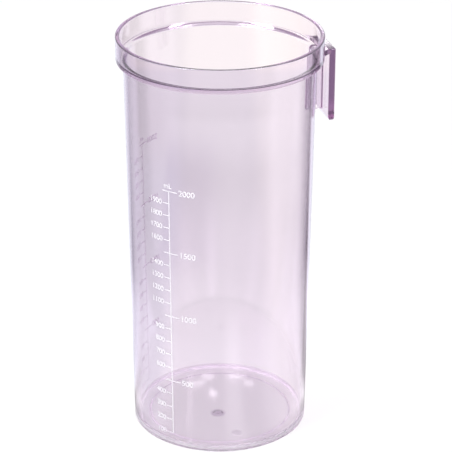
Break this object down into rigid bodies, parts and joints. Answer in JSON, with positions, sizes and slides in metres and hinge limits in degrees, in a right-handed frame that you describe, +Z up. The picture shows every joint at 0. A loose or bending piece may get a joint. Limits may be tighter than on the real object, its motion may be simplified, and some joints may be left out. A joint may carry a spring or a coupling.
{
  "type": "suction canister jar",
  "caption": "Tall clear one-piece suction canister jar with a stepped open collar, a flat base and a wall-bracket hook on the rim.",
  "frame": {"origin": "on the jar's axis, on the plane that its foot ring rests on", "axes": "+Z up along the jar's axis towards its open mouth, +Y towards the hook, -Y towards the middle of the printed front"},
  "size_m": [0.136, 0.1428, 0.2777],
  "materials": {
    "clear_polycarbonate": "clear, faintly lilac polycarbonate, polished inside and out"
  },
  "bodies": {
    "root": {"canister_jar": "clear_polycarbonate"}
  },
  "joints": []
}
